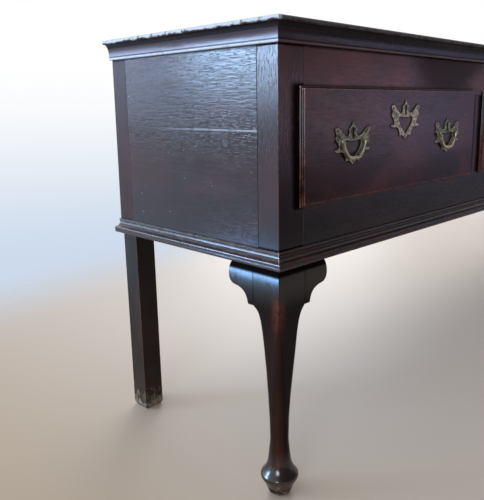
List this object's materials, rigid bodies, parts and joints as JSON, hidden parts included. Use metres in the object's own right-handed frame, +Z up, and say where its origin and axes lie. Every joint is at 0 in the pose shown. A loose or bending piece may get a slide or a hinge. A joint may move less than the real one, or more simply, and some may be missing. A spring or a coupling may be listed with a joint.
{
  "type": "dresser base",
  "caption": "Long oak dresser base: a row of lipped drawers with pierced brass bail handles, moulded top and base, cabriole front legs with pad feet and ears, square rear legs.",
  "frame": {"origin": "on the floor, under the middle of the whole piece", "axes": "+X along the front, to the right as one faces the drawers; +Y to the back; +Z up"},
  "size_m": [2.1664, 0.5004, 0.822],
  "materials": {
    "case_oak": "very dark oak, waxed, reddish at worn edges",
    "drawer_oak": "dark reddish oak, waxed",
    "inner_oak": "dry, unpolished oak",
    "aged_brass": "dull old brass"
  },
  "bodies": {
    "case": {"top_board": "case_oak", "cornice_front": "case_oak", "cornice_left": "case_oak", "cornice_right": "case_oak", "front_leg_left": "case_oak", "front_leg_right": "case_oak", "rear_leg_left": "case_oak", "rear_leg_right": "case_oak", "ear_left_front": "case_oak", "ear_left_side": "case_oak", "ear_right_front": "case_oak", "ear_right_side": "case_oak", "end_board_left_lower": "case_oak", "end_board_left_upper": "case_oak", "end_board_right_lower": "case_oak", "end_board_right_upper": "case_oak", "front_top_rail": "case_oak", "front_bottom_rail": "case_oak", "muntin_left": "case_oak", "muntin_right": "case_oak", "base_moulding_front": "case_oak", "base_moulding_left": "case_oak", "base_moulding_right": "case_oak", "back_board": "inner_oak", "runner_left": "inner_oak", "runner_inner_left": "inner_oak", "runner_inner_right": "inner_oak", "runner_right": "inner_oak", "kicker_inner_left": "inner_oak", "kicker_inner_right": "inner_oak"},
    "left_drawer": {"drawer_left_front": "drawer_oak", "drawer_left_side_left": "inner_oak", "drawer_left_side_right": "inner_oak", "drawer_left_back": "inner_oak", "drawer_left_bottom": "inner_oak", "escutcheon_left": "aged_brass", "handle_plate_left_left": "aged_brass", "handle_plate_left_right": "aged_brass"},
    "left_drawer_left_bail": {"bail_left_left": "aged_brass"},
    "left_drawer_right_bail": {"bail_left_right": "aged_brass"},
    "middle_drawer": {"drawer_middle_front": "drawer_oak", "drawer_middle_side_left": "inner_oak", "drawer_middle_side_right": "inner_oak", "drawer_middle_back": "inner_oak", "drawer_middle_bottom": "inner_oak", "escutcheon_middle": "aged_brass", "handle_plate_middle_left": "aged_brass", "handle_plate_middle_right": "aged_brass"},
    "middle_drawer_left_bail": {"bail_middle_left": "aged_brass"},
    "middle_drawer_right_bail": {"bail_middle_right": "aged_brass"},
    "right_drawer": {"drawer_right_front": "drawer_oak", "drawer_right_side_left": "inner_oak", "drawer_right_side_right": "inner_oak", "drawer_right_back": "inner_oak", "drawer_right_bottom": "inner_oak", "escutcheon_right": "aged_brass", "handle_plate_right_left": "aged_brass", "handle_plate_right_right": "aged_brass"},
    "right_drawer_left_bail": {"bail_right_left": "aged_brass"},
    "right_drawer_right_bail": {"bail_right_right": "aged_brass"}
  },
  "joints": [
    {"name": "left_drawer_slide", "type": "slide", "parent": "case", "child": "left_drawer", "axis": [0, -1, 0], "range_m": [0, 0.3]},
    {"name": "left_drawer_left_bail_hinge", "type": "hinge", "parent": "left_drawer", "child": "left_drawer_left_bail", "pos_m": [-0.867, -0.2389, 0.6224], "axis": [-1, 0, 0], "range_deg": [0, 95]},
    {"name": "left_drawer_right_bail_hinge", "type": "hinge", "parent": "left_drawer", "child": "left_drawer_right_bail", "pos_m": [-0.51, -0.2389, 0.6224], "axis": [-1, 0, 0], "range_deg": [0, 95]},
    {"name": "middle_drawer_slide", "type": "slide", "parent": "case", "child": "middle_drawer", "axis": [0, -1, 0], "range_m": [0, 0.3]},
    {"name": "middle_drawer_left_bail_hinge", "type": "hinge", "parent": "middle_drawer", "child": "middle_drawer_left_bail", "pos_m": [-0.1785, -0.2389, 0.6224], "axis": [-1, 0, 0], "range_deg": [0, 95]},
    {"name": "middle_drawer_right_bail_hinge", "type": "hinge", "parent": "middle_drawer", "child": "middle_drawer_right_bail", "pos_m": [0.1785, -0.2389, 0.6224], "axis": [-1, 0, 0], "range_deg": [0, 95]},
    {"name": "right_drawer_slide", "type": "slide", "parent": "case", "child": "right_drawer", "axis": [0, -1, 0], "range_m": [0, 0.3]},
    {"name": "right_drawer_left_bail_hinge", "type": "hinge", "parent": "right_drawer", "child": "right_drawer_left_bail", "pos_m": [0.51, -0.2389, 0.6224], "axis": [-1, 0, 0], "range_deg": [0, 95]},
    {"name": "right_drawer_right_bail_hinge", "type": "hinge", "parent": "right_drawer", "child": "right_drawer_right_bail", "pos_m": [0.867, -0.2389, 0.6224], "axis": [-1, 0, 0], "range_deg": [0, 95]}
  ]
}
